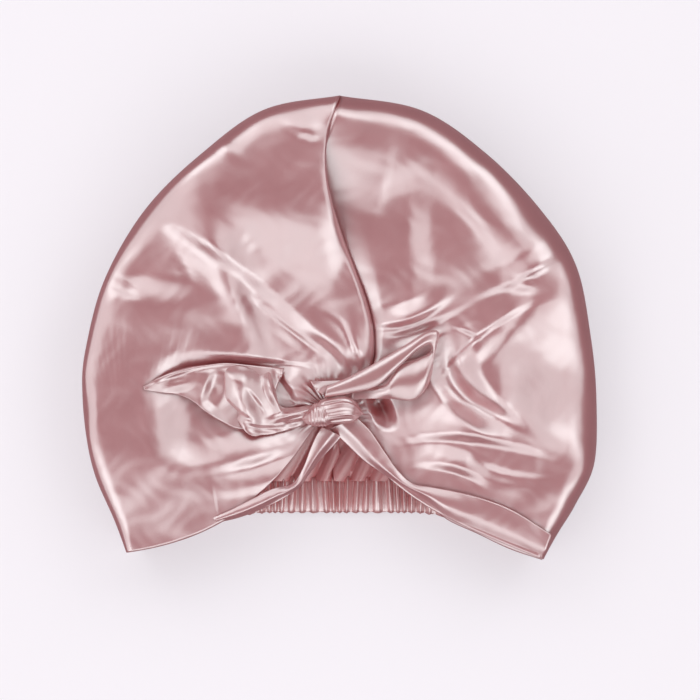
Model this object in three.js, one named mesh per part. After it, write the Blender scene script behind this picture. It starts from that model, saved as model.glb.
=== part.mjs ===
// A satin hair turban lying on its back, as it is stored: two cloth halves sewn along the middle,
// gathered into a knotted bow at the front and into an elastic casing at the nape.
// Millimetres. +X is the wearer's left, +Y runs up to the top of the crown, +Z points up from the table
// through the front of the turban. The origin is under the middle of the whole, on the table.
import * as THREE from "three";

// Driving sizes
const CLOTH = 1.4; // doubled silk with its seam allowance
const SEAM_GAP = 1;
const CROWN_HEIGHT = 47; // the puffed front over the table, before it climbs to its shoulder
const CROWN_REACH = { x: 150, y: 136 };
const RIM_FALL = 1.5;
const MOUTH_FALL = { depth: 6, from: 70, to: 134 }; // the front sinks towards the mouth
const KNOT = { x: -6, y: -47.5 };
const KNOT_DIP = { depth: 15, reach: 60 }; // the ties pull the front down round the knot
const KNOT_RING = { x: 10, y: 5 }; // where the gathered cloth goes in under the knot
// Height of the side roll's outermost line in each half, as a share of the puff.
const EDGE_SHARE = { right: 0.68, left: 0.56 };
const TUCK = 17; // how far the side roll turns under before it lies on the table
const RIB_PULL = 1.2;
const LAP = { rise: 3.2, share: 0.3 }; // the wearer's right half laps over the other along the seam
const COLUMNS = 22;
const COLUMN_CROWDING = 1.25; // the ribs stand closer towards the seam
const ROWS = { top: 22, roll: 6, back: 5 };
// The casing's two edges: level across the nape, then falling to the corners of the mouth.
const CASING = { end: 109, round: 12, pitch: 5.3, thick: 3.6, rib: 1.1 };
const CASING_TURN = ((COLUMNS - 2) / COLUMNS) ** COLUMN_CROWDING; // the rib that meets the casing's corner
const CASING_TOP = { y: -87.4, drop: 25, flat: 36, down: 110 };
const CASING_HEM = { y: -108.6, drop: 22.6, flat: 42, down: 108 };

const SATIN = new THREE.MeshStandardMaterial({ color: 0xc9979b, roughness: 0.32, metalness: 0.0 });
const SATIN_DEEP = new THREE.MeshStandardMaterial({ color: 0xc48f94, roughness: 0.38, metalness: 0.0 });

// Ribs of each half, from the seam at the top round the side to the front hem.
// knot: degrees round the knot where the rib starts. rim: its end on the outline.
// arrive: direction of travel there in degrees. nose: radius of the side roll.
const RIBS_RIGHT_OF_WEARER = [
  { knot: 38, rim: [0, 134.8], arrive: 72, nose: 15 },
  { knot: 88, rim: [-44.6, 126.4], arrive: 112, nose: 14 },
  { knot: 108, rim: [-79.7, 101.8], arrive: 128, nose: 13 },
  { knot: 126, rim: [-113.6, 69], arrive: 142, nose: 12 },
  { knot: 143, rim: [-137, 28.1], arrive: 157, nose: 12 },
  { knot: 160, rim: [-148.1, -12.9], arrive: 170, nose: 12 },
  { knot: 176, rim: [-149.8, -40], arrive: 180, nose: 12 },
  { knot: 192, rim: [-147.4, -64], arrive: 188, nose: 12 },
  { knot: 207, rim: [-142.3, -86.6], arrive: 195, nose: 11 },
  { knot: 222, rim: [-132, -110], arrive: 200, nose: 9 },
  { knot: 238, rim: [-124.4, -130.3], arrive: 189, nose: 5 },
];
const RIBS_LEFT_OF_WEARER = [
  { knot: 38, rim: [0, 134.8], arrive: 72, nose: 15 },
  { knot: 32, rim: [47.8, 126.4], arrive: 66, nose: 19 },
  { knot: 24, rim: [84.7, 101.8], arrive: 50, nose: 22 },
  { knot: 16, rim: [116.9, 69], arrive: 38, nose: 23 },
  { knot: 8, rim: [137.3, 36.3], arrive: 24, nose: 21 },
  { knot: 0, rim: [146.1, -4.7], arrive: 10, nose: 18 },
  { knot: -9, rim: [149.8, -42.1], arrive: 0, nose: 18 },
  { knot: -18, rim: [148.4, -78.4], arrive: -10, nose: 17 },
  { knot: -28, rim: [137.3, -103], arrive: -16, nose: 13 },
  { knot: -40, rim: [127, -119.3], arrive: -30, nose: 10 },
  { knot: -58, rim: [118.6, -134.6], arrive: -22, nose: 5 },
];

// The climb from the knot to the full shoulder, every 15 degrees round the knot from +X:
// how far from the knot it starts and ends, and its rise.
const CLIMB = [
  { from: 60, to: 85, rise: 2 },
  { from: 65, to: 95, rise: 3 },
  { from: 100, to: 125, rise: 4 },
  { from: 112, to: 140, rise: 6 },
  { from: 122, to: 156, rise: 8 },
  { from: 114, to: 160, rise: 10 },
  { from: 62, to: 132, rise: 13 },
  { from: 62, to: 134, rise: 13 },
  { from: 74, to: 128, rise: 10 },
  { from: 48, to: 86, rise: 5 },
  { from: 36, to: 70, rise: 3 },
  { from: 60, to: 92, rise: 3 },
  { from: 75, to: 105, rise: 4.5 },
  { from: 70, to: 100, rise: 4 },
  { from: 60, to: 95, rise: 2 },
  { from: 50, to: 90, rise: 0 },
  { from: 50, to: 90, rise: 0 },
  { from: 50, to: 90, rise: 0 },
  { from: 50, to: 90, rise: 0 },
  { from: 50, to: 90, rise: 0 },
  { from: 50, to: 90, rise: 0 },
  { from: 50, to: 90, rise: 0 },
  { from: 50, to: 85, rise: 0 },
  { from: 55, to: 85, rise: 1 },
  { from: 60, to: 85, rise: 2 },
];
const CLIMB_EASE = 0.28; // share of the climb over which its foot and its top are rounded

// Folds of the front: a spine from, via and to; its rise; how wide it is on each side of the spine,
// looking along it; and where along it the rise is greatest.
const FOLDS = [
  { from: [-110.1, 67.9], via: [-82, 55], to: [-52.8, 32.8], rise: 3, left: 10, right: 26, peak: 0.5 },
  { from: [-78.5, 44.5], via: [-39.9, 15.2], to: [8, -22.2], rise: 4.2, left: 12, right: 8, peak: 0.5 },
  { from: [-93.7, 62], via: [-49.3, 38.6], to: [5.7, 12.9], rise: -2.2, left: 12, right: 10, peak: 0.5 },
  { from: [-145.2, 5.8], via: [-105.4, 12.9], to: [-59.8, 2.3], rise: 4, left: 11, right: 28, peak: 0.5 },
  { from: [-140.5, -14], via: [-105.4, -11.1], to: [-73.9, -12.9], rise: 4, left: 28, right: 8, peak: 0.5 },
  { from: [-87.9, -14], via: [-52.8, -16.4], to: [-4.8, -22.2], rise: 3.4, left: 20, right: 7, peak: 0.5 },
  { from: [-87.9, -39.8], via: [-86.7, -59.7], to: [-80.9, -79.6], rise: 6, left: 26, right: 22, peak: 0.5 },
  { from: [-93.7, -75.5], via: [-58.6, -71.4], to: [-16.5, -56.2], rise: 3.6, left: 9, right: 8, peak: 0.6 },
  { from: [-86.7, -79.6], via: [-58.6, -80.1], to: [-32.3, -68.4], rise: -2.4, left: 7, right: 7, peak: 0.4 },
  { from: [-75, -84.8], via: [-45.8, -85.4], to: [-20, -71.4], rise: 2.2, left: 7, right: 7, peak: 0.5 },
  { from: [18.6, 5.8], via: [43.7, 8.8], to: [67.1, 25.2], rise: 3.6, left: 9, right: 7, peak: 0.4 },
  { from: [18.6, -3.5], via: [49.6, 2.3], to: [87.6, 21.1], rise: -3, left: 8, right: 8, peak: 0.35 },
  { from: [74.7, 17.5], via: [105.2, 30.4], to: [130.9, 47.4], rise: 2.6, left: 9, right: 8, peak: 0.6 },
  { from: [57.2, -31], via: [87.6, -1.2], to: [136.7, 23.4], rise: 2.4, left: 6, right: 18, peak: 0.4 },
  { from: [153.1, 28.1], via: [153.1, -33.3], to: [153.1, -100.6], rise: -13, left: 66, right: 66, peak: 0.5 },
  { from: [25, -66.1], via: [77.1, -59.7], to: [148.4, -80.7], rise: 3.6, left: 13, right: 7, peak: 0.5 },
  { from: [74.7, -72], via: [96.4, -85.4], to: [142.6, -86.6], rise: -2, left: 7, right: 8, peak: 0.4 },
  { from: [33.8, -75.5], via: [64.2, -76], to: [87, -88.9], rise: 3.2, left: 8, right: 8, peak: 0.65 },
  { from: [19.7, -40.9], via: [23.8, -46.8], to: [29.1, -56.2], rise: -9, left: 9, right: 9, peak: 0.5 },
];

// Strips that lie along the two front hems, turned over the cut edge.
const HEM_STRIP_RIGHT = [
  { x: -13, y: -59, width: 5, lift: 0.8 },
  { x: -17.5, y: -72, width: 6, lift: 0.8 },
  { x: -22, y: -82, width: 7.5, lift: 0.8 },
  { x: -33, y: -93, width: 9, lift: 0.8 },
  { x: -52, y: -102, width: 8, lift: 0.8 },
  { x: -76, y: -110.5, width: 6, lift: 0.8 },
];
const HEM_STRIP_LEFT = [
  { x: 6, y: -58, width: 13, lift: 0.8 },
  { x: 18.5, y: -70.5, width: 13, lift: 0.8 },
  { x: 31, y: -83.5, width: 13, lift: 0.8 },
  { x: 43, y: -94, width: 14, lift: 0.8 },
  { x: 65, y: -103.5, width: 18, lift: 0.8 },
  { x: 92, y: -114.5, width: 20, lift: 0.8 },
  { x: 111, y: -124, width: 19, lift: 0.8 },
];

// The bow's strips: lift over the smooth puff, direction of the width in degrees, and its bank.
const LOOP_RIGHT = [
  { x: -23, y: -48, lift: 8.5, width: 11, across: 82, bank: 0 },
  { x: -38, y: -46.5, lift: 12, width: 25, across: 84, bank: 0 },
  { x: -54, y: -44.5, lift: 14, width: 36, across: 86, bank: 0 },
  { x: -65, y: -43, lift: 12, width: 37, across: 88, bank: 0 },
  { x: -68.5, y: -42.5, lift: 8.5, width: 35, across: 88, bank: 0 },
  { x: -65, y: -43, lift: 5, width: 34, across: 88, bank: 0 },
  { x: -52, y: -45, lift: 4.5, width: 30, across: 86, bank: 0 },
  { x: -36, y: -47, lift: 4.5, width: 20, across: 84, bank: 0 },
  { x: -24, y: -48.5, lift: 4.5, width: 11, across: 82, bank: 0 },
];
const LOOP_LEFT = [
  { x: 1, y: -36.4, lift: 9, width: 12, across: -60, bank: 30 },
  { x: 18, y: -27.5, lift: 12, width: 13, across: -59, bank: 35 },
  { x: 36, y: -16.5, lift: 13, width: 14, across: -58, bank: 35 },
  { x: 50, y: -8, lift: 11.5, width: 15, across: -56, bank: 25 },
  { x: 54.5, y: -6.5, lift: 8.5, width: 17, across: -54, bank: 10 },
  { x: 49, y: -16, lift: 5.5, width: 25, across: -52, bank: 0 },
  { x: 38, y: -26, lift: 4.5, width: 27, across: -50, bank: 0 },
  { x: 26, y: -35, lift: 4.5, width: 15, across: -52, bank: 0 },
  { x: 11.6, y: -43, lift: 5, width: 8, across: -72, bank: 0 },
];
const TAIL_RIGHT = [
  { x: -27, y: -41, width: 14, lift: 0.8 },
  { x: -42, y: -36.5, width: 23, lift: 0.8 },
  { x: -62, y: -34, width: 27, lift: 1.4 },
  { x: -82, y: -34, width: 23, lift: 1.6 },
  { x: -99, y: -34, width: 12, lift: 1.5 },
  { x: -112, y: -33, width: 3, lift: 0.8 },
];
const TAIL_LEFT = [
  { x: -8, y: -37.9, lift: 9.5, width: 5, across: 15, bank: 0 },
  { x: -11, y: -33, lift: 9, width: 9, across: 20, bank: 0 },
  { x: -13, y: -28.5, lift: 6.5, width: 8, across: 20, bank: 0 },
];
const KNOT_SIZE = { from: -21.5, to: 10.5, lift: 0.4, depth: 15, width: 17, wraps: 3, bite: 0.9 };

const radians = THREE.MathUtils.degToRad;
const smoothstep = THREE.MathUtils.smoothstep;
const lerp = THREE.MathUtils.lerp;
const heading = (deg) => new THREE.Vector2(Math.cos(radians(deg)), Math.sin(radians(deg)));

// A smooth curve through one to three named columns of a table, read at 0 to 1.
function columns(rows, ...names) {
  const points = rows.map((row) => new THREE.Vector3(...names.map((name) => row[name])));
  return new THREE.CatmullRomCurve3(points, false, "catmullrom", 0.5);
}

// A climb from 0 to 1 with a straight slope between its rounded foot and top.
function eased(t) {
  const near = Math.min(t, 1 - t);
  const half = (near < CLIMB_EASE ? near ** 2 / (2 * CLIMB_EASE) : near - CLIMB_EASE / 2) / (1 - CLIMB_EASE);
  return t < 0.5 ? half : 1 - half;
}

const CLIMB_CURVE = columns(CLIMB, "from", "to", "rise");

// Height of the puffed front without its folds: it climbs from the knot to a full shoulder.
function puff(x, y) {
  const away = new THREE.Vector2(x - KNOT.x, y - KNOT.y);
  const climb = CLIMB_CURVE.getPoint(away.angle() / (2 * Math.PI));
  const share = THREE.MathUtils.clamp((away.length() - climb.x) / (climb.y - climb.x), 0, 1);
  const dip = KNOT_DIP.depth * Math.exp(-away.lengthSq() / KNOT_DIP.reach ** 2);
  const rim = RIM_FALL * Math.min(1.1, Math.hypot(x / CROWN_REACH.x, y / CROWN_REACH.y)) ** 8;
  const mouth = MOUTH_FALL.depth * smoothstep(-y, MOUTH_FALL.from, MOUTH_FALL.to);
  return CROWN_HEIGHT + climb.z * eased(share) - dip - rim - mouth;
}

const SPINE_STEPS = 20;
const SPINES = FOLDS.map((fold) => {
  const corner = (name) => new THREE.Vector2(...fold[name]);
  const middle = corner("from").add(corner("to")).multiplyScalar(-0.5);
  const bend = corner("via").multiplyScalar(2).add(middle);
  return new THREE.QuadraticBezierCurve(corner("from"), bend, corner("to")).getPoints(SPINE_STEPS);
});

// How far one fold lifts the cloth at a place.
function foldRise(fold, spine, x, y) {
  let best = { away: Infinity, at: 0, side: 1 };
  for (let i = 0; i < SPINE_STEPS; i++) {
    const a = spine[i];
    const run = spine[i + 1].clone().sub(a);
    const to = new THREE.Vector2(x - a.x, y - a.y);
    const share = THREE.MathUtils.clamp(to.dot(run) / run.lengthSq(), 0, 1);
    const away = to.clone().addScaledVector(run, -share).length();
    if (away < best.away) best = { away, at: (i + share) / SPINE_STEPS, side: Math.sign(run.cross(to)) };
  }
  const spread = best.away / (best.side > 0 ? fold.left : fold.right);
  if (spread >= 1) return 0;
  const before = smoothstep(best.at, 0, fold.peak);
  const after = 1 - smoothstep(best.at, fold.peak, 1);
  return fold.rise * (1 - spread * spread) ** 2 * Math.min(before, after);
}

function front(x, y) {
  return puff(x, y) + FOLDS.reduce((sum, fold, i) => sum + foldRise(fold, SPINES[i], x, y), 0);
}

const edgeY = (edge, x) => edge.y - edge.drop * smoothstep(Math.abs(x), edge.flat, edge.down);

// The line that a half is sewn to: along the casing's top edge, then round its end.
function casingJoin(u, side) {
  const along = Math.min(1, u / CASING_TURN);
  const round = Math.max(0, (u - CASING_TURN) / (1 - CASING_TURN));
  const x = side * lerp(SEAM_GAP * 0.5, CASING.end + 2 * SEAM_GAP, along);
  return new THREE.Vector3(x, edgeY(CASING_TOP, x) + SEAM_GAP - CASING.round * round, 0);
}

// A closed wall between two grids of points of the same size, outer[i][j] and inner[i][j].
function wall(outer, inner) {
  const across = outer.length - 1;
  const along = outer[0].length - 1;
  const positions = [...outer.flat(), ...inner.flat()].flatMap((p) => [p.x, p.y, p.z]);
  const at = (i, j, layer) => layer * (across + 1) * (along + 1) + i * (along + 1) + j;
  const index = [];
  const quad = (a, b, c, d) => index.push(a, b, c, a, c, d);
  for (let i = 0; i < across; i++) {
    for (let j = 0; j < along; j++) {
      quad(at(i, j, 0), at(i + 1, j, 0), at(i + 1, j + 1, 0), at(i, j + 1, 0));
      quad(at(i, j, 1), at(i, j + 1, 1), at(i + 1, j + 1, 1), at(i + 1, j, 1));
    }
    quad(at(i, 0, 0), at(i, 0, 1), at(i + 1, 0, 1), at(i + 1, 0, 0));
    quad(at(i, along, 0), at(i + 1, along, 0), at(i + 1, along, 1), at(i, along, 1));
  }
  for (let j = 0; j < along; j++) {
    quad(at(0, j, 0), at(0, j + 1, 0), at(0, j + 1, 1), at(0, j, 1));
    quad(at(across, j, 0), at(across, j, 1), at(across, j + 1, 1), at(across, j + 1, 0));
  }
  const geometry = new THREE.BufferGeometry();
  geometry.setAttribute("position", new THREE.Float32BufferAttribute(positions, 3));
  geometry.setIndex(index);
  return geometry;
}

// The grid moved through the cloth's thickness, away from the side that its faces point to.
function moved(grid, distance) {
  const last = { i: grid.length - 1, j: grid[0].length - 1 };
  return grid.map((line, i) =>
    line.map((p, j) => {
      const across = grid[Math.min(i + 1, last.i)][j].clone().sub(grid[Math.max(i - 1, 0)][j]);
      const along = line[Math.min(j + 1, last.j)].clone().sub(line[Math.max(j - 1, 0)]);
      return p.clone().addScaledVector(across.cross(along).normalize(), -distance);
    }),
  );
}

function mesh(name, geometry, material) {
  const made = new THREE.Mesh(geometry, material);
  made.name = name;
  geometry.computeVertexNormals();
  return made;
}

// One half of the turban: each rib leaves the knot, runs over the front to the outline,
// rolls under at the side and lies along the table to the nape casing.
function half(name, ribs, side, edgeShare) {
  const rows = ribs.map((rib) => ({ ...rib, x: rib.rim[0], y: rib.rim[1] }));
  const rims = columns(rows, "x", "y", "nose");
  const turns = columns(rows, "knot", "arrive", "nose");
  const grid = [];
  for (let i = 0; i <= COLUMNS; i++) {
    const u = (i / COLUMNS) ** COLUMN_CROWDING;
    const rim = rims.getPoint(u);
    const turn = turns.getPoint(u);
    const leave = heading(turn.x);
    const arrive = heading(turn.y);
    const start = new THREE.Vector2(KNOT.x + KNOT_RING.x * leave.x, KNOT.y + KNOT_RING.y * leave.y);
    const shoulder = new THREE.Vector2(rim.x, rim.y).addScaledVector(arrive, -rim.z);
    const pull = RIB_PULL * start.distanceTo(shoulder);
    const fromSeam = side * SEAM_GAP * 0.5 * (1 - u);
    const lap = side < 0 ? LAP.rise * (1 - smoothstep(u, 0, LAP.share)) : 0;
    const line = [];
    for (let j = 0; j <= ROWS.top; j++) {
      const s = j / ROWS.top;
      const blend = s * s * (3 - 2 * s);
      const x = lerp(start.x, shoulder.x, blend) + pull * (s * (1 - s) ** 2 * leave.x - s * s * (1 - s) * arrive.x);
      const y = lerp(start.y, shoulder.y, blend) + pull * (s * (1 - s) ** 2 * leave.y - s * s * (1 - s) * arrive.y);
      const raise = lap * smoothstep(s, 0.05, 0.3) * (1 - smoothstep(s, 0.4, 1));
      line.push(new THREE.Vector3(x + fromSeam, y, front(x, y) + raise));
    }
    const edge = { x: rim.x + fromSeam, y: rim.y, z: edgeShare * front(rim.x, rim.y) };
    for (let j = 1; j <= 2 * ROWS.roll; j++) {
      const turnDown = (Math.PI / 2) * (1 - j / ROWS.roll);
      const reach = j <= ROWS.roll ? rim.z : TUCK * (rim.z / 16);
      const back = reach * (1 - Math.cos(turnDown));
      const x = edge.x - back * arrive.x;
      const y = edge.y - back * arrive.y;
      const high = lerp(edge.z, front(x - fromSeam, y), Math.sin(turnDown));
      line.push(new THREE.Vector3(x, y, j <= ROWS.roll ? high : edge.z * (1 + Math.sin(turnDown))));
    }
    const foot = line[line.length - 1];
    const join = casingJoin(u, side);
    for (let j = 1; j <= ROWS.back; j++) line.push(foot.clone().lerp(join, j / ROWS.back));
    grid.push(line);
  }
  if (side < 0) grid.reverse();
  return mesh(name, wall(grid, moved(grid, CLOTH)), SATIN);
}

// A strip of cloth through the rows of a table, with its height at each place given by a function.
function strip(name, rows, steps, acrossSteps, place) {
  const middle = columns(rows, "x", "y", "lift");
  const shape = columns(rows.map((row) => ({ across: 0, bank: 0, ...row })), "width", "across", "bank");
  const grid = [];
  for (let i = 0; i <= acrossSteps; i++) {
    const line = [];
    for (let j = 0; j <= steps; j++) line.push(place(middle, shape, j / steps, i / acrossSteps - 0.5));
    grid.push(line);
  }
  return mesh(name, wall(grid, moved(grid, CLOTH)), SATIN_DEEP);
}

// A strip that lies on the folds of the front, square to its own run.
function draped(middle, shape, t, offset) {
  const at = middle.getPoint(t);
  const run = middle.getTangent(t);
  const square = new THREE.Vector2(-run.y, run.x).normalize();
  const x = at.x + square.x * offset * shape.getPoint(t).x;
  const y = at.y + square.y * offset * shape.getPoint(t).x;
  return new THREE.Vector3(x, y, front(x, y) + at.z);
}

// A strip that stands off the front by its own lift.
function raised(middle, shape, t, offset) {
  const at = middle.getPoint(t);
  const form = shape.getPoint(t);
  const square = heading(form.y);
  const reach = offset * form.x;
  const flat = reach * Math.cos(radians(form.z));
  return new THREE.Vector3(
    at.x + square.x * flat,
    at.y + square.y * flat,
    puff(at.x, at.y) + at.z + reach * Math.sin(radians(form.z)),
  );
}

// A solid through rings of points, closed at both ends.
function loft(rings) {
  const around = rings[0].length;
  const positions = rings.flat().flatMap((p) => [p.x, p.y, p.z]);
  const index = [];
  for (let i = 0; i + 1 < rings.length; i++) {
    for (let j = 0; j < around; j++) {
      const a = i * around + j;
      const b = i * around + ((j + 1) % around);
      index.push(a, b, b + around, a, b + around, a + around);
    }
  }
  const last = (rings.length - 1) * around;
  for (let j = 1; j + 1 < around; j++) {
    index.push(0, j + 1, j);
    index.push(last, last + j, last + j + 1);
  }
  const geometry = new THREE.BufferGeometry();
  geometry.setAttribute("position", new THREE.Float32BufferAttribute(positions, 3));
  geometry.setIndex(index);
  return geometry;
}

// The elastic casing across the nape: a flat tube of cloth, ruched into ribs.
function casing() {
  const ribs = Math.round((2 * CASING.end) / CASING.pitch);
  const rings = [];
  for (let i = 0; i <= 2 * ribs; i++) {
    const x = lerp(-CASING.end, CASING.end, i / (2 * ribs));
    const swell = i % 2 ? CASING.rib : -CASING.rib;
    const high = CASING.thick + swell;
    const hem = edgeY(CASING_HEM, x) - 0.3 * swell;
    const top = edgeY(CASING_TOP, x);
    const chamfer = 0.3 * CASING.thick;
    const section = [
      [hem, 0.35 * high],
      [hem + chamfer, 0],
      [top - chamfer, 0],
      [top, 0.35 * high],
      [top, 0.65 * high],
      [top - chamfer, high],
      [hem + chamfer, high],
      [hem, 0.65 * high],
    ];
    rings.push(section.map(([y, z]) => new THREE.Vector3(x, y, z)));
  }
  return mesh("nape_casing", loft(rings), SATIN_DEEP);
}

// The knot: the ties wound round each other in a short barrel with spiral wraps.
function knot() {
  const sections = 12;
  const around = 14;
  const base = puff(KNOT.x, KNOT.y) + KNOT_SIZE.lift;
  const rings = [];
  for (let i = 0; i <= sections; i++) {
    const t = i / sections;
    const fat = 0.45 + 0.55 * Math.sqrt(Math.sin(Math.PI * (0.06 + 0.88 * t)));
    const ring = [];
    for (let j = 0; j < around; j++) {
      const angle = (2 * Math.PI * j) / around;
      const wrap = KNOT_SIZE.bite * Math.cos(angle + 2 * Math.PI * KNOT_SIZE.wraps * t);
      const y = KNOT.y - 0.5 + (fat * KNOT_SIZE.width * 0.5 + wrap) * Math.cos(angle);
      const z = base + KNOT_SIZE.depth * 0.5 + (fat * KNOT_SIZE.depth * 0.5 + wrap * 0.5) * Math.sin(angle);
      ring.push(new THREE.Vector3(lerp(KNOT_SIZE.from, KNOT_SIZE.to, t), y, z));
    }
    rings.push(ring);
  }
  return mesh("knot", loft(rings), SATIN);
}

const turban = new THREE.Group();
turban.name = "hair_turban";
turban.add(half("crown_right", RIBS_RIGHT_OF_WEARER, -1, EDGE_SHARE.right));
turban.add(half("crown_left", RIBS_LEFT_OF_WEARER, 1, EDGE_SHARE.left));
turban.add(casing());
turban.add(strip("hem_strip_right", HEM_STRIP_RIGHT, 18, 3, draped));
turban.add(strip("hem_strip_left", HEM_STRIP_LEFT, 20, 4, draped));
turban.add(knot());
turban.add(strip("bow_loop_right", LOOP_RIGHT, 24, 6, raised));
turban.add(strip("bow_loop_left", LOOP_LEFT, 24, 4, raised));
turban.add(strip("tie_tail_right", TAIL_RIGHT, 14, 5, draped));
turban.add(strip("tie_tail_left", TAIL_LEFT, 6, 3, raised));

export default turban;
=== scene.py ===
import math
import bmesh
import bpy
import numpy as np
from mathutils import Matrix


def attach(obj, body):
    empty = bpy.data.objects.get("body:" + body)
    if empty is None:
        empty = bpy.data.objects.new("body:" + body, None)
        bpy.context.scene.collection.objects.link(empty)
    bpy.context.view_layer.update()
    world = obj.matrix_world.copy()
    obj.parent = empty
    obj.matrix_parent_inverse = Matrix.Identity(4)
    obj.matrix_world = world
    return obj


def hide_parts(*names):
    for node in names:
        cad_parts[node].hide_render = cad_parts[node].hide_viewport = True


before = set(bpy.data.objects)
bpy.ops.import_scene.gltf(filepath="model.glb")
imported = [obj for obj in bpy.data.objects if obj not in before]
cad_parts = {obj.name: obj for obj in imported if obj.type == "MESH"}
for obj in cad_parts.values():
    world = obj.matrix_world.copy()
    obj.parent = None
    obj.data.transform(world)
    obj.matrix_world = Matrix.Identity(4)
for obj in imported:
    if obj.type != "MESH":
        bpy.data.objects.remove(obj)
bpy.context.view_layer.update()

# Crown, the wearer's right half: one piece of doubled silk satin, front, side roll and back.
# It is gathered into the knot, rolls under at the side, and its free edge laps over the other half.
# Sizes are in millimetres, from a point on the table under the middle of the turban.
MM = 0.001
# Folds and the edges of bands are charted in pixels of a view from straight above.
# PIXEL is the size of one in millimetres, and ORIGIN_PIXEL the one that lies over that point.
PIXEL = 0.585
ORIGIN_PIXEL = (340.25, 328)
KNOT = (-6.0, -47.5)
KNOT_RING = (10.0, 5.0)
MOUTH_FALL = 3.0
MOUTH_FROM, MOUTH_TO = 70.0, 134.0
CROWN_HEIGHT = 47.0
KNOT_DIP = (15.0, 60.0)
EASE = 0.42
TUCK = 21.0
SIDE_SAG = 5.0
SEAM_TURN = 77.0
SEAM_FADE = (140.0, 172.0)
HALF_TURN = 180.0
SLACK = 0.3
FINE_SLACK = 0.08
KNOT_PLEATS = 30
PLEAT_RISE = 0.25
PLEAT_REACH = 25.0
LAP_RISE = 3.2
LAP_ROLL = 3.6
UNDERLAP = 9.0
UNDERLAP_DIP = (1.5, 3.0)
BACK_LAP = (4.0, 0.9)
GATHER_PITCH = 12.5
GATHER_DEPTH = 3.8
GATHER_LIFT = 2.2
JOIN_DEPTH = 2.5
CORNER_DROP = 12
CORNER_START = 0.88
RIB_PULL = 1.2
FRONT_PART = 0.70
ROLL_PART = 0.16
CASING_END = 109.0
CASING_TOP = (-87.4, 15.0, 36.0, 110.0)
CASING_HEM = (-108.6, 11.5, 42.0, 108.0)
SILK = 0.8
# Each rib: degrees round the knot, end on the outline, direction of travel there, radius of the roll.
RIBS_RIGHT = [
    (38, 0, 134.8, 72, 15),
    (88, -44.6, 126.4, 112, 24),
    (108, -79.7, 101.8, 128, 22),
    (126, -113.6, 69, 142, 18),
    (143, -137, 28.1, 157, 13),
    (160, -148.1, -12.9, 170, 11),
    (176, -149.8, -40, 180, 10),
    (192, -147.4, -64, 188, 10),
    (207, -142.3, -86.6, 195, 11),
    (222, -132, -110, 200, 9),
    (238, -124.4, -130.3, 189, 5),
]
# The climb to the shoulder, every 15 degrees round the knot: where it starts, where it ends, its height.
CLIMB = [
    (60, 85, 2),
    (65, 95, 3),
    (116, 145, 4.5),
    (118, 147, 7),
    (122, 157, 8),
    (112, 166, 8.5),
    (64, 136, 12.5),
    (60, 138, 14.5),
    (66, 142, 14.5),
    (40, 80, 6),
    (36, 70, 3),
    (84, 110, 3),
    (80, 108, 6.5),
    (76, 106, 6),
    (58, 90, 3.5),
    (50, 90, 1.5),
    (50, 90, 0),
    (50, 90, 0),
    (50, 90, 0),
    (50, 90, 0),
    (50, 90, 0),
    (50, 90, 0),
    (50, 85, 0),
    (55, 85, 1),
    (60, 85, 2),
]


def from_view(places, rows):
    """Rows of a chart, with the pixels of their places turned to millimetres, to a tenth."""
    def millimetres(column, pixel):
        away = ORIGIN_PIXEL[1] - pixel if column % 2 else pixel - ORIGIN_PIXEL[0]
        return round(away * PIXEL, 1)

    ends = 2 * places
    return [[millimetres(k, row[k]) for k in range(ends)] + list(row[ends:]) for row in rows]


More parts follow.
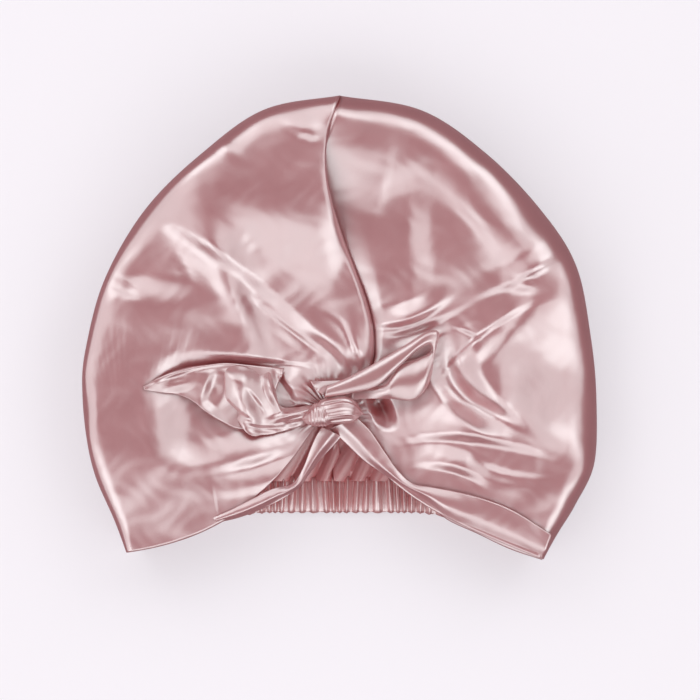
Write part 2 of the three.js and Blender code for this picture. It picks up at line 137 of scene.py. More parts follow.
# Each fold: pixels of its spine's start, middle and end, its rise, its width left and right of the spine,
# where along the spine it is highest, and how crisp its crest is.
FOLDS = from_view(places=3, rows=[
    (150, 210, 254, 276, 358, 372, 3.8, 17, 8, 0.3, 0.5),  # long ridge to the knot
    (222, 276, 280, 324, 338, 368, -1.5, 3, 7, 0.6, 0.2),  # crease under the ridge
    (167, 238, 184, 266, 199, 294, -0.5, 5, 2, 0.5, 0.5),  # flat crease
    (60, 318, 150, 306, 246, 336, 4.6, 19, 60, 0.5, 0),  # side swell
    (190, 352, 250, 356, 332, 366, 3.4, 20, 3, 0.5, 0.3),  # overhang above the bow
    (168, 462, 240, 456, 316, 428, 4, 16, 9, 0.6, 0),  # band under the loop
    (196, 486, 262, 480, 310, 450, 2.6, 12, 8, 0.6, 0),  # second band
    (248, 512, 285, 500, 304, 464, 2.2, 5, 7, 0.5, 0.2),  # swell of the hem
    (213, 478, 216, 500, 220, 524, 0.4, 1.6, 9, 0.5, 0.5),  # cross seam of the hem
    (278, 118, 305, 134, 336, 140, 1.8, 12, 6, 0.6, 0.2),  # facet at the top
    (210, 141, 228, 150, 248, 168, 1.2, 4, 5, 0.4, 0.4),  # pucker of the rim
    (103, 281, 125, 288, 152, 301, -1.3, 3, 4, 0.6, 0.4),  # pucker of the side
    (274, 364, 290, 384, 303, 408, 5.5, 15, 4, 0.5, 0.2),  # pocket beside the bow
    (288, 322, 334, 342, 356, 380, 4.4, 13, 7, 0.65, 0),  # pleats into the knot
    (340, 310, 355, 340, 366, 380, 3.4, 10, 4, 0.65, 0),
    (602, 280, 602, 385, 602, 500, -13, 66, 66, 0.5, 0),  # fall of the left side
    (474, 300, 492, 386, 572, 430, 5, 34, 12, 0.55, 0),  # fold of the left side
    (444, 322, 458, 392, 540, 436, -7, 9, 12, 0.55, 0),  # valley before it
    (436, 176, 440, 246, 446, 320, 4.8, 60, 20, 0.5, 0),  # dimple inside the arc
    (370, 322, 415, 316, 462, 284, 4.2, 11, 4, 0.4, 0.1),  # ridge over the left loop
    (376, 338, 425, 330, 492, 294, -2.4, 4, 7, 0.4, 0.1),  # crease below it
    (466, 298, 520, 276, 572, 244, 3, 12, 4, 0.55, 0.1),  # line to the side
    (500, 291, 520, 286, 542, 291, 1.8, 5, 5, 0.5, 0.1),  # small swell beside it
    (438, 381, 490, 330, 574, 288, 2.4, 2.2, 18, 0.4, 0.3),  # lap crease
    (446, 326, 466, 330, 486, 342, -1.6, 8, 3, 0.5, 0.4),  # crease that meets it
    (380, 443, 472, 432, 598, 468, 4.4, 18, 7, 0.5, 0.1),  # lip over the left hem
    (468, 451, 505, 474, 584, 476, -1.2, 4, 6, 0.4, 0.2),  # crease under the lip
    (392, 462, 450, 462, 492, 484, 3.2, 11, 6, 0.6, 0.1),  # swell under the lip
    (362, 390, 380, 403, 390, 432, -13.6, 6.5, 8.5, 0.5, 0),  # hole beside the knot
])


def smoothstep(x, low, high):
    t = np.clip((x - low) / (high - low), 0.0, 1.0)
    return t * t * (3.0 - 2.0 * t)


def through(rows, t):
    """Values between the rows of a table, on a smooth curve, at places t from 0 to 1."""
    rows = np.asarray(rows, float)
    ends = np.vstack([2 * rows[0] - rows[1], rows, 2 * rows[-1] - rows[-2]])
    at = np.clip(t, 0.0, 1.0) * (len(rows) - 1)
    low = np.minimum(at.astype(int), len(rows) - 2)
    f = (at - low)[:, None]
    a, b, c, d = (ends[low + k] for k in range(4))
    return 0.5 * (2 * b + (c - a) * f + (2 * a - 5 * b + 4 * c - d) * f**2 + (3 * b - a - 3 * c + d) * f**3)


def fold_lift(x, y, fold):
    """How far one fold of the chart lifts the cloth at each place."""
    x0, y0, xm, ym, x1, y1, rise, left, right, peak, crisp = fold
    steps = 24
    s = np.linspace(0.0, 1.0, steps + 1)
    sx = x0 + (x1 - x0) * s + 4 * s * (1 - s) * (xm - 0.5 * (x0 + x1))
    sy = y0 + (y1 - y0) * s + 4 * s * (1 - s) * (ym - 0.5 * (y0 + y1))
    reach = max(left, right)
    near = (x > sx.min() - reach) & (x < sx.max() + reach) & (y > sy.min() - reach) & (y < sy.max() + reach)
    lift = np.zeros_like(x)
    px, py = x[near][:, None], y[near][:, None]
    if px.size == 0:
        return lift
    rx, ry = np.diff(sx)[None], np.diff(sy)[None]
    tx, ty = px - sx[None, :-1], py - sy[None, :-1]
    share = np.clip((tx * rx + ty * ry) / (rx * rx + ry * ry), 0.0, 1.0)
    away = np.hypot(tx - share * rx, ty - share * ry)
    best = away.argmin(axis=1)
    pick = np.arange(len(best))
    at = (best + share[pick, best]) / steps
    side = rx[0, best] * ty[pick, best] - ry[0, best] * tx[pick, best]
    spread = np.clip(away[pick, best] / np.where(side > 0, left, right), 0.0, 1.0)
    profile = (1 - crisp) * (1 - spread**2) ** 2 + crisp * (1 - spread) ** 2
    along = np.minimum(smoothstep(at, -1e-6, max(peak, 1e-6)), 1 - smoothstep(at, min(peak, 1 - 1e-6), 1.0))
    lift[near] = rise * profile * along
    return lift


def puff(x, y, seam_turn=HALF_TURN):
    """Height of the puffed front without its folds: it climbs from the knot to a full shoulder."""
    fall = MOUTH_FALL * smoothstep(-y, MOUTH_FROM, MOUTH_TO)
    away_x, away_y = x - KNOT[0], y - KNOT[1]
    away = np.hypot(away_x, away_y)
    turn = np.degrees(np.arctan2(away_y, away_x)) % 360
    past_seam = np.where(turn < HALF_TURN, np.maximum(turn - seam_turn, 0.0), 0.0)
    slope = through(CLIMB, (turn - past_seam * (1 - smoothstep(away, *SEAM_FADE))) / 360)
    climb = np.clip((away - slope[:, 0]) / (slope[:, 1] - slope[:, 0]), 0.0, 1.0)
    dip = KNOT_DIP[0] * np.exp(-((away_x**2 + away_y**2) / KNOT_DIP[1] ** 2))
    eased = np.where(climb < 0.5, climb, 1 - climb)
    eased = np.where(eased < EASE, eased**2 / (2 * EASE), eased - EASE / 2) / (1 - EASE)
    return CROWN_HEIGHT + slope[:, 2] * np.where(climb < 0.5, eased, 1 - eased) - dip - fall


def smooth_front(x, y, seam_turn=HALF_TURN):
    """Height of the front with its slack and its folds."""
    slack = SLACK * np.sin(x / 6.7 + 1.4 * np.sin(y / 10.0)) * np.sin(y / 7.6 + 1.2 * np.sin(x / 12.0))
    fine = np.sin(x / 2.3 + 2 * np.sin(y / 5.0)) * np.sin(y / 2.9 + 2 * np.sin(x / 6.0))
    slack = slack + FINE_SLACK * fine
    return puff(x, y, seam_turn) + slack + sum(fold_lift(x, y, fold) for fold in FOLDS)


def front(x, y, seam_turn=HALF_TURN):
    """The same with the fine pleats where the cloth goes in under the knot."""
    away_x, away_y = x - KNOT[0], y - KNOT[1]
    near = np.exp(-((away_x**2 + away_y**2) / PLEAT_REACH**2))
    pleats = np.sin(KNOT_PLEATS * np.arctan2(away_y, away_x) + 1.5 * np.sin(x / 4.0))
    return smooth_front(x, y, seam_turn) + PLEAT_RISE * near * pleats


def casing_edge(edge, x):
    """One edge of the nape casing: level in the middle, dropping towards the corners of the mouth."""
    level, drop, flat, down = edge
    return level - drop * smoothstep(np.abs(x), flat, down)


def crown_half(ribs, side, edge_share, brow, round_power):
    """Places of one half's cloth, from the knot over the front, round the side and along the back."""
    def place(u, v):
        rib = through(ribs, u)
        leave, arrive = np.radians(rib[:, 0]), np.radians(rib[:, 3])
        rim, nose = rib[:, 1:3], rib[:, 4]
        out = np.stack([np.cos(arrive), np.sin(arrive)], 1)
        set_off = np.stack([np.cos(leave), np.sin(leave)], 1)
        start = np.array(KNOT) + set_off * np.array(KNOT_RING)
        shoulder = rim - out * nose[:, None]
        pull = RIB_PULL * np.linalg.norm(shoulder - start, axis=1)[:, None]
        s = np.clip(v / FRONT_PART, 0.0, 1.0)[:, None]
        blend = s * s * (3 - 2 * s)
        plan = start + (shoulder - start) * blend
        plan = plan + pull * (s * (1 - s) ** 2 * set_off - s * s * (1 - s) * out)
        turn = np.clip((v - FRONT_PART) / ROLL_PART, 0.0, 1.0)
        angle = np.radians(90 - 180 * turn)
        down = 1 - (1 - np.minimum(2 * turn, 1.0)) ** 2
        sag = (1 + np.sin(33 * u + 2 * np.sin(9 * u))) * np.sin(np.pi * np.clip(2 * turn - 1, 0.0, 1.0))
        under_roll = TUCK * nose / 16 * (1 - np.cos(angle)) + SIDE_SAG * nose / 16 * sag
        inset = np.where(turn < 0.5, nose * (1 - down), under_roll)
        rolled = rim - out * inset[:, None]
        plan = np.where((v > FRONT_PART)[:, None], rolled, plan)
        x, y = plan[:, 0], plan[:, 1]
        height = front(x, y, SEAM_TURN if side > 0 else HALF_TURN)
        uneven = 1 + 0.11 * np.sin(14 * u + 1) + 0.06 * np.sin(37 * u)
        edge = edge_share * uneven * front(rim[:, 0], rim[:, 1])
        slope = brow * (1 + 0.35 * np.sin(23 * u) + 0.2 * np.sin(41 * u + 1))
        sunk = slope * down**2 + (1 - slope) * (1 - np.sqrt(1 - down**round_power))
        upper = height + (edge - height) * sunk
        z = np.where(v <= FRONT_PART, height, np.where(turn < 0.5, upper, edge * (1 + np.sin(angle))))
        if side < 0:
            lap = LAP_RISE * (1 - smoothstep(u, 0.0, 0.3)) - LAP_ROLL * np.clip(1 - u / 0.02, 0.0, 1.0) ** 2
            z = z + lap * smoothstep(s[:, 0], 0.05, 0.3) * (1 - smoothstep(s[:, 0], 0.4, 1.0))
        else:
            under = np.clip(1 - u / 0.06, 0.0, 1.0)
            x = x - UNDERLAP * under**2 * (1 - smoothstep(v, 0.8 * FRONT_PART, FRONT_PART))
            dive = UNDERLAP_DIP[0] + UNDERLAP_DIP[1] * (1 - smoothstep(s[:, 0], 0.35, 0.8))
            dive = dive * (1 - smoothstep(u, 0.0, 0.055)) * smoothstep(s[:, 0], 0.0, 0.12)
            z = z - dive * (1 - smoothstep(v, 0.8 * FRONT_PART, FRONT_PART))
        along_back = np.clip((v - FRONT_PART - ROLL_PART) / (1 - FRONT_PART - ROLL_PART), 0.0, 1.0)
        back = 1 - (1 - along_back) ** 2
        round_end = np.clip((u - CORNER_START) / (1 - CORNER_START), 0.0, 1.0)
        join_x = side * (CASING_END + 1.6) * np.clip(u / CORNER_START, 0.0, 1.0)
        join_y = casing_edge(CASING_TOP, join_x) - JOIN_DEPTH - CORNER_DROP * round_end
        on_back = v > FRONT_PART + ROLL_PART
        x = np.where(on_back, x + (join_x - x) * back, x)
        y = np.where(on_back, y + (join_y - y) * back, y)
        slant = np.pi * (x - 0.5 * (y - join_y)) / GATHER_PITCH + 0.7 * np.sin(x / 11.0)
        gathers = GATHER_DEPTH * np.abs(np.cos(slant)) * smoothstep(back, 0.6, 0.92)
        gathers = gathers + GATHER_LIFT * smoothstep(back, 0.6, 0.95)
        if side > 0:
            lapped = np.clip(1 - u / 0.05, 0.0, 1.0)
            x = np.where(on_back, x - BACK_LAP[0] * lapped * back, x)
            gathers = gathers + BACK_LAP[1] * lapped
        z = z + np.where(on_back, gathers * (1 - round_end), 0.0)
        return np.stack([x, y, z], 1)

    return place


def cloth(name, columns, rows, place, thickness, turn_over=False):
    """A piece of cloth: a grid moved to its places, smooth, with its thickness on the inner side."""
    bm = bmesh.new()
    bm.loops.layers.uv.new("weave")
    bmesh.ops.create_grid(bm, x_segments=columns, y_segments=rows, size=0.5, calc_uvs=True)
    flat = np.array([vert.co[:2] for vert in bm.verts]) + 0.5
    for vert, point in zip(bm.verts, place(flat[:, 0], flat[:, 1]) * MM):
        vert.co = point
    if turn_over:
        bmesh.ops.reverse_faces(bm, faces=bm.faces)
    for face in bm.faces:
        face.smooth = True
    mesh = bpy.data.meshes.new(name)
    bm.to_mesh(mesh)
    bm.free()
    piece = bpy.data.objects.new(name, mesh)
    bpy.context.collection.objects.link(piece)
    wall = piece.modifiers.new("thickness", "SOLIDIFY")
    wall.thickness = thickness * MM
    wall.offset = -1.0
    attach(piece, "root")
    return piece


def silk_satin(name, colour, roughness, gleam=1.0):
    """Warp-faced silk satin: a soft mirror-like sheen, faint slubs and threads along the cloth, and painted
    shade that darkens the base colour in hollows.
    """
    satin = bpy.data.materials.new(name)
    satin.use_nodes = True
    nodes, links = satin.node_tree.nodes, satin.node_tree.links
    shader = nodes["Principled BSDF"]
    shader.inputs["IOR"].default_value = 2.6
    shader.inputs["Specular IOR Level"].default_value = gleam
    shader.inputs["Specular Tint"].default_value = (0.92, 1.0, 1.0, 1)
    shader.inputs["Sheen Weight"].default_value = 0.1
    shader.inputs["Sheen Roughness"].default_value = 0.4
    shader.inputs["Sheen Tint"].default_value = (1.0, 0.85, 0.86, 1)
    where = nodes.new("ShaderNodeTexCoord")
    clouds = nodes.new("ShaderNodeTexNoise")
    clouds.inputs["Scale"].default_value = 55.0
    clouds.inputs["Detail"].default_value = 4.0
    links.new(where.outputs["Object"], clouds.inputs["Vector"])
    # Painted shade: ambient occlusion turns the base colour dark and deep red in creases, hollows and under
    # the bow, standing in for shade and for light bounced between the folds. Open cloth is painted a little
    # lighter.
    hollow_shade = nodes.new("ShaderNodeAmbientOcclusion")
    hollow_shade.inputs["Distance"].default_value = 0.02
    even = nodes.new("ShaderNodeMapRange")
    even.inputs["To Min"].default_value = 0.36
    even.inputs["To Max"].default_value = 0.64
    links.new(clouds.outputs["Fac"], even.inputs["Value"])
    links.new(even.outputs["Result"], hollow_shade.inputs["Color"])
    shade_ramp = nodes.new("ShaderNodeValToRGB")
    shade_ramp.color_ramp.elements[0].position = 0.06
    shade_ramp.color_ramp.elements[0].color = (0.82 * colour[0], 0.2 * colour[1], 0.2 * colour[2], 1)
    shade_ramp.color_ramp.elements[1].position = 0.7
    shade_ramp.color_ramp.elements[1].color = (*[1.08 * c for c in colour], 1)
    half_shade = shade_ramp.color_ramp.elements.new(0.4)
    half_shade.color = (*[0.92 * c for c in colour], 1)
    links.new(hollow_shade.outputs["Color"], shade_ramp.inputs["Fac"])
    links.new(shade_ramp.outputs["Color"], shader.inputs["Base Color"])
    gloss = nodes.new("ShaderNodeMapRange")
    gloss.inputs["To Min"].default_value = roughness - 0.03
    gloss.inputs["To Max"].default_value = roughness + 0.05
    links.new(clouds.outputs["Fac"], gloss.inputs["Value"])
    links.new(gloss.outputs["Result"], shader.inputs["Roughness"])
    along = nodes.new("ShaderNodeMapping")
    along.inputs["Scale"].default_value = (900.0, 60.0, 1.0)
    links.new(where.outputs["UV"], along.inputs["Vector"])
    threads = nodes.new("ShaderNodeTexNoise")
    threads.inputs["Scale"].default_value = 1.0
    threads.inputs["Detail"].default_value = 2.0
    links.new(along.outputs["Vector"], threads.inputs["Vector"])
    raised = nodes.new("ShaderNodeBump")
    raised.inputs["Strength"].default_value = 0.12
    raised.inputs["Distance"].default_value = 0.0001
    links.new(threads.outputs["Fac"], raised.inputs["Height"])
    links.new(raised.outputs["Normal"], shader.inputs["Normal"])
    return satin


crown_satin = silk_satin("crown_satin", (0.52, 0.17, 0.187), 0.29)
right_half = crown_half(RIBS_RIGHT, side=-1, edge_share=0.58, brow=0.2, round_power=9)
crown_right = cloth("crown_cloth_right", 160, 280, right_half, SILK, turn_over=True)
crown_right.data.materials.append(crown_satin)
inner_satin = silk_satin("inner_satin", (0.62, 0.2, 0.21), 0.4, gleam=0.4)
crown_right.data.materials.append(inner_satin)
crown_right.modifiers["thickness"].material_offset = 1
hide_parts("crown_right")

# Crown, the wearer's left half: the same doubled satin, gathered into the knot from the other side.
# Its edge runs in under the right half along the centre seam and is sewn to it there.
RIBS_LEFT = [
    (38, 0, 134.8, 72, 15),
    (32, 47.8, 126.4, 66, 19),
    (24, 84.7, 101.8, 50, 22),
    (16, 116.9, 69, 38, 23),
    (8, 137.3, 36.3, 24, 21),
    (0, 146.1, -4.7, 10, 18),
    (-9, 149.8, -42.1, 0, 18),
    (-18, 148.4, -78.4, -10, 17),
    (-28, 137.3, -103, -16, 13),
    (-40, 127, -119.3, -30, 10),
    (-58, 118.6, -134.6, -22, 5),
]
left_half = crown_half(RIBS_LEFT, side=1, edge_share=0.54, brow=0.26, round_power=4.5)
crown_left = cloth("crown_cloth_left", 160, 280, left_half, SILK)
crown_left.data.materials.append(crown_satin)
crown_left.data.materials.append(inner_satin)
crown_left.modifiers["thickness"].material_offset = 1
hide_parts("crown_left")

# Nape casing: a tube of the same satin with an elastic drawn through it, at the back of the neck.
# The elastic pulls the cloth up into narrow ribs; its upper edge is sewn to the gathered back.
CASING_THICK = 5.6
RIB_PITCH = 5.4
RIB_DEPTH = 1.9


def casing_place(u, v):
    """Round the tube with u and along the nape with v."""
    x = CASING_END * (2 * v - 1)
    top, hem = casing_edge(CASING_TOP, x), casing_edge(CASING_HEM, x)
    close = np.sqrt(np.clip(1 - np.abs(2 * v - 1) ** 24, 0.0, 1.0))
    angle = 2 * np.pi * u
    phase = 2 * np.pi * (x / RIB_PITCH + 0.3 * np.sin(x / 6.1) + 0.12 * np.sin(x / 2.9 + 1))
    rib = RIB_DEPTH * (1 - 2 * np.abs(np.sin(0.5 * phase)) ** 1.4 + 0.2 * np.cos(2.6 * phase + x / 3)) * close
    half = 0.5 * (top - hem) * close + 0.25 * rib
    y = 0.5 * (top + hem) + half * np.cos(angle)
    lean = 0.7 * np.sin(x / 6.3) * np.cos(angle)
    upper = np.maximum(np.sin(angle), 0.0)
    thick = np.sign(np.sin(angle)) * np.abs(np.sin(angle)) ** 0.7
    z = 0.5 * CASING_THICK * (1 + thick * close) + rib * upper**0.5
    return np.stack([x + lean * close, y, z], 1)


def closed(name, columns, rows, place):
    """A closed body: a grid rolled up round its length and drawn together at both ends."""
    bm = bmesh.new()
    bm.loops.layers.uv.new("weave")
    bmesh.ops.create_grid(bm, x_segments=columns, y_segments=rows, size=0.5, calc_uvs=True)
    flat = np.array([vert.co[:2] for vert in bm.verts]) + 0.5
    for vert, point in zip(bm.verts, place(flat[:, 0], flat[:, 1]) * MM):
        vert.co = point
    bmesh.ops.remove_doubles(bm, verts=bm.verts, dist=1e-6)
    bmesh.ops.dissolve_degenerate(bm, edges=bm.edges, dist=1e-7)
    bmesh.ops.recalc_face_normals(bm, faces=bm.faces)
    for face in bm.faces:
        face.smooth = True
    mesh = bpy.data.meshes.new(name)
    bm.to_mesh(mesh)
    bm.free()
    piece = bpy.data.objects.new(name, mesh)
    bpy.context.collection.objects.link(piece)
    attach(piece, "root")
    return piece


# Painted light: the casing's base colour is lighter than the crown's satin, to make up for the shade it lies
# in at the back of the crown.
casing_satin = silk_satin("casing_satin", (0.68, 0.24, 0.25), 0.32)
nape_casing = closed("ruched_casing", 40, 420, casing_place)
nape_casing.data.materials.append(casing_satin)
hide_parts("nape_casing")

# Hem bands: the turned-in front edges of both halves, run out from the knot along the mouth.
# Each is a doubled strip of satin, pressed flat and sewn down on its half.
# Each row: pixels of a place on the upper edge and of one on the lower, and the band's lift off the crown.
HEM_LEFT = from_view(places=2, rows=[
    (356, 416, 330, 428, 4),
    (370, 430, 347, 444, 3.4),
    (383, 449, 364, 460, 3),
    (397, 469, 383, 473, 2.6),
    (412, 482, 402, 486, 2.2),
    (432, 486, 424, 500, 2),
    (455, 490, 446, 518, 1.8),
    (482, 497, 476, 532, 1.6),
    (512, 509, 508, 547, 1.4),
    (550, 533, 540, 558, 1.2),
])
HEM_RIGHT = from_view(places=2, rows=[
    (322, 426, 342, 436, 3.4),
    (316, 436, 333, 446, 3),
    (310, 450, 321, 459, 2.6),
    (303, 468, 309, 474, 2.2),
    (293, 482, 300, 486, 2),
    (272, 488, 284, 497, 1.8),
    (252, 498, 262, 508, 1.4),
    (232, 508, 240, 516, 0.7),
    (214, 516, 219, 521, 0),
])
BAND_THICK = 0.8


def ribbon(rows, wave, folds=(), on_crown=True):
    """Places of a band between its two charted edges, lying on the crown or at its own height."""
    def place(u, v):
        row = through(rows, v)
        x = row[:, 0] + (row[:, 2] - row[:, 0]) * u
        y = row[:, 1] + (row[:, 3] - row[:, 1]) * u
        z = (smooth_front(x, y) if on_crown else 0.0) + row[:, 4] + wave(u, v)
        return np.stack([x, y, z + sum(fold_lift(x, y, fold) for fold in folds)], 1)

    return place


def hem_wave(u, v):
    """A hem band is crowned, and rolls over towards the mouth past its inner fold."""
    return 1.2 * np.sin(np.pi * u) - 2.6 * smoothstep(u, 0.55, 1.0) + 0.3 * np.sin(9 * v + 3 * u)


tie_satin = silk_satin("tie_satin", (0.5, 0.162, 0.174), 0.29)
hem_left = cloth("hem_band_left", 24, 150, ribbon(HEM_LEFT, hem_wave), BAND_THICK)
hem_right = cloth("hem_band_right", 24, 130, ribbon(HEM_RIGHT, hem_wave), BAND_THICK, turn_over=True)
for band, node in ((hem_left, "hem_strip_left"), (hem_right, "hem_strip_right")):
    band.data.materials.append(crown_satin)
    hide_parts(node)

# Tie ends: the bands' free ends, cut to a point, lying on the crown beside the bow.
# They are doubled satin; the long one slips out under the bow, the short one stands up by the knot.
# Each row: pixels of a place on the upper edge and of one on the lower, and the end's lift off the crown.
TAIL_RIGHT = from_view(places=2, rows=[
    (146, 386, 147, 389, 0.8),
    (160, 378, 164, 392, 1.6),
    (176, 371, 180, 394, 2.4),
    (190, 367, 194, 400, 2.8),
    (206, 365, 207, 410, 3),
    (226, 363, 222, 420, 3),
    (250, 365, 240, 428, 3),
    (285, 368, 262, 426, 3),
])
TAIL_LEFT = from_view(places=2, rows=[
    (311, 381, 341, 380, 4),
    (314, 386, 336, 388, 6),
    (318, 392, 330, 396, 8),
])
# Each row: a fold of the long end, charted as the crown's folds are.
TAIL_FOLDS = from_view(places=3, rows=[
    (146, 387, 190, 369, 246, 363, 1.6, 3, 2.2, 0.5, 0.2),
    (224, 366, 214, 388, 205, 412, -2.6, 8, 5, 0.5, 0.1),
    (156, 391, 180, 385, 203, 376, 1.4, 5, 5, 0.5, 0.1),
    (196, 404, 210, 412, 226, 430, 1.8, 6, 3, 0.5, 0.1),
])


def tail_wave(u, v):
    """A ridge runs along near the upper edge; below it the cloth lies in soft hollows."""
    ridge = np.where(u < 0.2, smoothstep(u, -0.1, 0.2), 1 - 0.6 * smoothstep(u, 0.2, 1.0))
    return 2.6 * ridge * smoothstep(v, 0.0, 0.5) + 0.7 * np.sin(11 * v + 2 * u) * smoothstep(u, 0.1, 0.4)


def stub_wave(u, v):
    """The short end is crowned across and curls more the higher it stands."""
    return 1.5 * np.sin(np.pi * u) * (0.3 + v) + 0.9 * np.sin(7 * u + 5 * v) * v


tail_right = cloth("tie_end_right", 40, 110, ribbon(TAIL_RIGHT, tail_wave, TAIL_FOLDS), BAND_THICK)
tail_left = cloth("tie_end_left", 30, 40, ribbon(TAIL_LEFT, stub_wave), BAND_THICK, turn_over=True)
for tail, node in ((tail_right, "tie_tail_right"), (tail_left, "tie_tail_left")):
    tail.data.materials.append(tie_satin)
    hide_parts(node)

# Bow, the wearer's right loop: the band turned back on itself and bunched where the knot grips it.
# It is satin only, so it stands up round and soft, with creases that run together into the knot.
# Each row: pixels of a place on the upper edge and of one on the lower, and the loop's lift off the crown.
LOOP_RIGHT = from_view(places=2, rows=[
    (223, 379, 223, 391, 2),
    (226, 370, 228, 402, 6.5),
    (234, 366, 237, 416, 10),
    (243, 366, 245, 429, 11.4),
    (253, 369, 254, 435, 10.6),
    (263, 371, 264, 434, 8.8),
    (271, 370, 273, 433, 8.4),
    (276, 388, 281, 431, 8.2),
    (281, 405, 290, 429, 7.6),
    (295, 407, 301, 426, 7),
    (312, 404, 313, 421, 6.5),
])
# Each row: a fold of the loop, charted as the crown's folds are.
LOOP_FOLDS = from_view(places=3, rows=[
    (244, 386, 257, 402, 267, 420, -2.2, 2.6, 7, 0.5, 0.1),
    (268, 366, 273, 392, 286, 414, 3.4, 3, 4.5, 0.45, 0.1),
    (224, 396, 238, 411, 256, 422, -3.4, 2.4, 5, 0.5, 0.1),
    (282, 424, 294, 422, 308, 419, -1.8, 2, 3, 0.5, 0.1),
    (262, 424, 284, 416, 313, 408, 2, 3.4, 3, 0.6, 0),
    (240, 418, 262, 428, 300, 424, -1.6, 2.4, 3.4, 0.5, 0.1),
])


def loop_right_wave(u, v):
    """The loop is round across, highest near its upper edge, and rolls under along both edges."""
    aside = np.where(u < 0.32, (0.32 - u) / 0.32, (u - 0.32) / 0.68)
    return -7.0 * smoothstep(v, 0.02, 0.25) * (1 - 0.35 * v) * aside**2


loop_right = cloth("bow_fan_right", 110, 150, ribbon(LOOP_RIGHT, loop_right_wave, LOOP_FOLDS), SILK)
loop_right.data.materials.append(tie_satin)
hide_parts("bow_loop_right")

# Bow, the wearer's left loop: the same band laid out flat to a tip and brought back under itself.
# The way back hangs lower than the way out, so the loop shows an open pocket at its tip.
# Each row: pixels of a place on the upper edge and of one on the lower, and the loop's height off the table.
LOOP_LEFT = from_view(places=2, rows=[
    (327, 386, 325, 397, 44),
    (352, 375, 350, 393, 46),
    (378, 361, 376, 386, 47.5),
    (403, 346, 396, 369, 48.5),
    (426, 332, 417, 350, 49.5),
    (438, 333, 431, 347, 48.5),
    (433, 350, 428, 380, 45.5),
    (418, 359, 414, 398, 45),
    (398, 366, 396, 398, 44),
    (382, 384, 384, 397, 43),
    (352, 391, 352, 399, 42),
])


def loop_left_wave(u, v):
    """The way out is flat with rolled edges; the way back is slack and round across."""
    back = smoothstep(v, 0.5, 0.6)
    flat = 1.8 * (1 - np.abs(2 * u - 1) ** 3)
    slack = 3.4 * np.sin(np.pi * u) ** 0.8
    return (1 - back) * flat + back * slack * smoothstep(v, 0.55, 0.65) * (1 - smoothstep(v, 0.85, 0.97))


loop_left = cloth("bow_band_left", 40, 200, ribbon(LOOP_LEFT, loop_left_wave, on_crown=False), BAND_THICK)
loop_left.data.materials.append(tie_satin)
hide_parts("bow_loop_left")

# Knot: the two bands crossed and drawn tight, one wrapped over the other.
# The satin is pinched into fine slanting pleats; a groove parts the two wraps.
# Each row: pixels of a place on the knot's length, its height, and its half width and half depth there.
KNOT_ROWS = from_view(places=1, rows=[
    (303, 417, 38.5, 0.6, 0.6),
    (310, 415, 39.4, 4.6, 5),
    (321, 412, 40.4, 7.2, 7.6),
    (333, 410, 40.8, 7.8, 8.4),
    (345, 409, 40.6, 7.6, 8),
    (355, 411, 39.8, 5.4, 6),
    (362, 414, 38.6, 0.6, 0.6),
])
PLEAT_PITCH = 1.9
WRAP_SHARE = 0.36
STRANDS = (9, 17)


def knot_place(u, v):
    """Round the knot with u and along it with v: an upright wrap, then strands along the knot."""
    row = through(KNOT_ROWS, v)
    angle = 2 * np.pi * u
    wrap_end = v - WRAP_SHARE + 0.1 * np.cos(angle)
    upright = 0.16 * np.sin(2 * np.pi * (row[:, 0] + 1.5 * np.cos(angle)) / PLEAT_PITCH)
    strands = 0.3 * np.sin(STRANDS[0] * angle + 5 * v) + 0.15 * np.sin(STRANDS[1] * angle + 3 * v)
    swell = upright + (strands - upright) * smoothstep(wrap_end, 0.0, 0.1)
    swell = swell + 0.9 * (1 - smoothstep(wrap_end, -0.04, 0.02))
    swell = swell * np.clip(row[:, 3] / 6, 0.0, 1.0)
    flat_top = np.abs(np.sin(angle)) ** 0.75 * np.sign(np.sin(angle))
    y = row[:, 1] + (row[:, 3] + swell) * np.abs(np.cos(angle)) ** 0.85 * np.sign(np.cos(angle))
    z = row[:, 2] + (row[:, 4] + swell) * flat_top
    return np.stack([row[:, 0] + 0.8 * np.cos(angle), y, z], 1)


knot = closed("tied_knot", 160, 110, knot_place)
knot.data.materials.append(tie_satin)
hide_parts("knot")

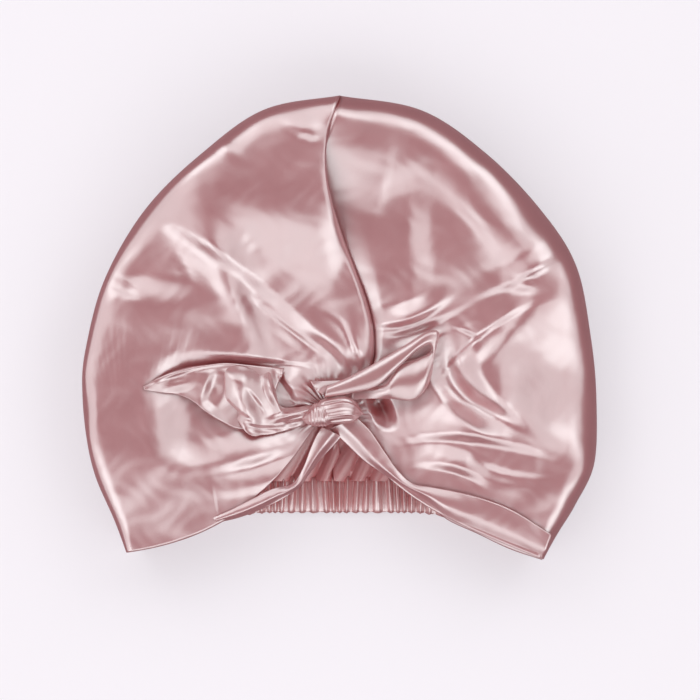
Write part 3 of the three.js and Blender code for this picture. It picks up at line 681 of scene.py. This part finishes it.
# Table, camera and light: a pale table, lit from within a little and by four soft boxes round it.
# The camera looks straight down on it, at the scale of the view that the sizes were read from.
VIEW_PIXELS = 700
TABLE_HALF = 4.0
SENSOR = 36.0
CAMERA_HEIGHT = 2500.0
RIM_HEIGHT = 18.0
bm = bmesh.new()
bmesh.ops.create_grid(bm, x_segments=1, y_segments=1, size=TABLE_HALF)
mesh = bpy.data.meshes.new("table_top")
bm.to_mesh(mesh)
bm.free()
table_top = bpy.data.objects.new("table_top", mesh)
bpy.context.collection.objects.link(table_top)
paper = bpy.data.materials.new("pale_paper")
paper.use_nodes = True
matt = paper.node_tree.nodes["Principled BSDF"]
matt.inputs["Base Color"].default_value = (0.5, 0.475, 0.505, 1)
matt.inputs["Emission Color"].default_value = (1, 0.955, 1, 1)
matt.inputs["Emission Strength"].default_value = 0.4
matt.inputs["Roughness"].default_value = 0.9
table_top.data.materials.append(paper)
table_top.visible_glossy = False

camera = bpy.data.cameras.new("camera")
camera.sensor_width = SENSOR
camera.lens = SENSOR * (CAMERA_HEIGHT - RIM_HEIGHT) / (VIEW_PIXELS * PIXEL)
camera.clip_end = 20.0
eye = bpy.data.objects.new("camera", camera)
middle_x = (VIEW_PIXELS / 2 - ORIGIN_PIXEL[0]) * PIXEL
middle_y = (ORIGIN_PIXEL[1] - VIEW_PIXELS / 2) * PIXEL
eye.location = (middle_x * MM, middle_y * MM, CAMERA_HEIGHT * MM)
bpy.context.collection.objects.link(eye)
bpy.context.scene.camera = eye


def soft_box(name, place, size, power):
    """A broad flat lamp that faces the turban."""
    lamp = bpy.data.lights.new(name, "AREA")
    lamp.shape = "RECTANGLE"
    lamp.size, lamp.size_y = size
    lamp.energy = power
    box = bpy.data.objects.new(name, lamp)
    box.location = place
    to_middle = -box.location
    box.rotation_euler = to_middle.to_track_quat("-Z", "Y").to_euler()
    bpy.context.collection.objects.link(box)


BOX_RING = 1.7
BOX_WIDTH = 3.2
# Each soft box: its name, the way it stands in, its angle over the table, its height and its power.
BOXES = [
    ("box_top", 90, 47, 1.4, 18),
    ("box_left", 180, 35, 2.1, 21),
    ("box_right", 0, 48, 1.4, 13.5),
    ("box_foot", 270, 48, 1.4, 18),
]
for name, azimuth, elevation, height, power in BOXES:
    turn, up = math.radians(azimuth), math.radians(elevation)
    flat = BOX_RING * math.cos(up)
    place = (flat * math.cos(turn), flat * math.sin(turn), BOX_RING * math.sin(up))
    soft_box(name, place, (BOX_WIDTH, height), power)
world = bpy.data.worlds.new("room")
world.use_nodes = True
world.node_tree.nodes["Background"].inputs["Color"].default_value = (1, 0.97, 1, 1)
world.node_tree.nodes["Background"].inputs["Strength"].default_value = 0.06
bpy.context.scene.world = world
bpy.context.scene.view_settings.view_transform = "Standard"
